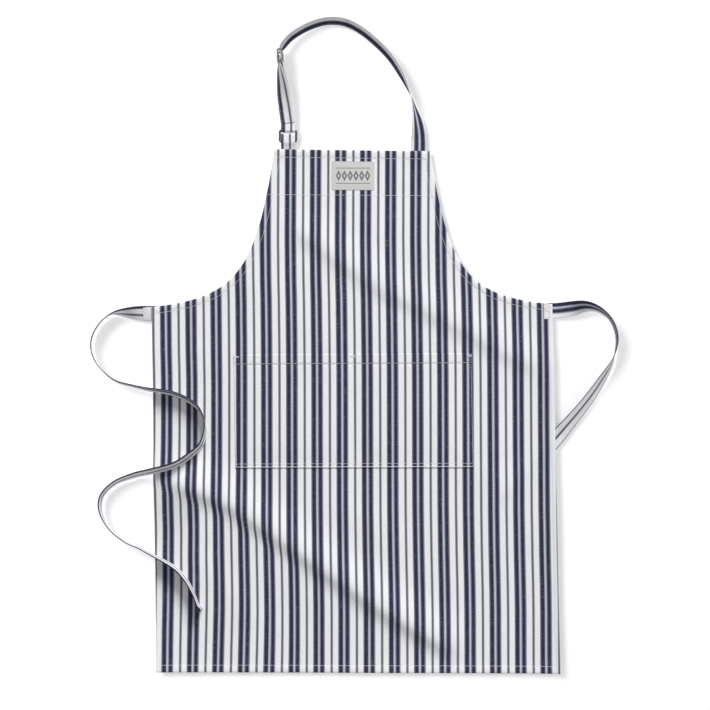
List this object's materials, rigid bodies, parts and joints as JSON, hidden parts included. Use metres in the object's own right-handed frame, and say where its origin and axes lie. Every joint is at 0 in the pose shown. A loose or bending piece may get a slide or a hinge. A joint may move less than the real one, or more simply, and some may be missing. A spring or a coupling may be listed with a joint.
{
  "type": "butcher apron",
  "caption": "Full-length bib apron in striped woven cloth with a divided front pocket, an adjustable neck loop with metal ring and slider, and two waist ties.",
  "frame": {"origin": "middle of the outline of the apron and its neck loop, on the surface that it lies on", "axes": "+Y from the bottom hem to the neck loop, +X across the front to the viewer's right, +Z out of the front face"},
  "size_m": [0.8673, 1.0817, 0.0318],
  "materials": {
    "stripe_cloth": "matte",
    "facing_cloth": "matte",
    "tape": "matte",
    "label_cloth": "matte",
    "thread": "matte",
    "ring_metal": "polished",
    "slider_metal": "polished"
  },
  "bodies": {
    "apron": {"body_panel": "stripe_cloth", "bib_facing": "facing_cloth", "armhole_facing_left": "facing_cloth", "armhole_facing_right": "facing_cloth", "side_hem_left": "stripe_cloth", "side_hem_right": "stripe_cloth", "bottom_hem": "stripe_cloth", "label": "label_cloth", "ring_tab": "tape", "neck_strap_root": "tape", "tie_root_left": "tape", "tie_root_right": "tape", "tie_tail_right": "tape", "pocket_border": "stripe_cloth", "thread_bib": "thread", "thread_armhole_left": "thread", "thread_armhole_right": "thread", "thread_sides": "thread", "thread_bottom": "thread", "thread_label": "thread", "thread_pocket": "thread"},
    "neck_loop": {"ring": "ring_metal", "strap_ring_turn": "tape", "strand_front": "tape", "strand_back": "tape", "neck_strap": "tape"},
    "slider_unit": {"slider": "slider_metal", "strap_end_loop": "tape"},
    "tie_left": {"waist_tie_left": "tape", "tie_end_left": "tape"},
    "tie_right": {"waist_tie_right": "tape"},
    "pocket_left": {"pocket_panel_left": "stripe_cloth", "pocket_hem_left": "stripe_cloth", "thread_pocket_hem_left": "thread"},
    "pocket_right": {"pocket_panel_right": "stripe_cloth", "pocket_hem_right": "stripe_cloth", "thread_pocket_hem_right": "thread"}
  },
  "joints": [
    {"name": "neck_loop_lift", "type": "hinge", "parent": "apron", "child": "neck_loop", "pos_m": [-0.111, 0.333, 0.0036], "axis": [1, 0, 0], "range_deg": [0, 135]},
    {"name": "slider_travel", "type": "slide", "parent": "neck_loop", "child": "slider_unit", "axis": [0.1, -0.995, 0], "range_m": [0, 0.08], "deforming": ["strand_front", "strand_back"]},
    {"name": "tie_left_swing", "type": "hinge", "parent": "apron", "child": "tie_left", "pos_m": [-0.403, 0.048, 0.013], "axis": [0, 0, -1], "range_deg": [0, 28]},
    {"name": "tie_right_lift", "type": "hinge", "parent": "apron", "child": "tie_right", "pos_m": [0.334, 0, 0.0012], "axis": [0, -1, 0], "range_deg": [0, 75]},
    {"name": "pocket_left_open", "type": "hinge", "parent": "apron", "child": "pocket_left", "pos_m": [-0.1, -0.2004, 0.0039], "axis": [1, 0, 0], "range_deg": [0, 10]},
    {"name": "pocket_right_open", "type": "hinge", "parent": "apron", "child": "pocket_right", "pos_m": [0.1, -0.2004, 0.0039], "axis": [1, 0, 0], "range_deg": [0, 10]}
  ]
}
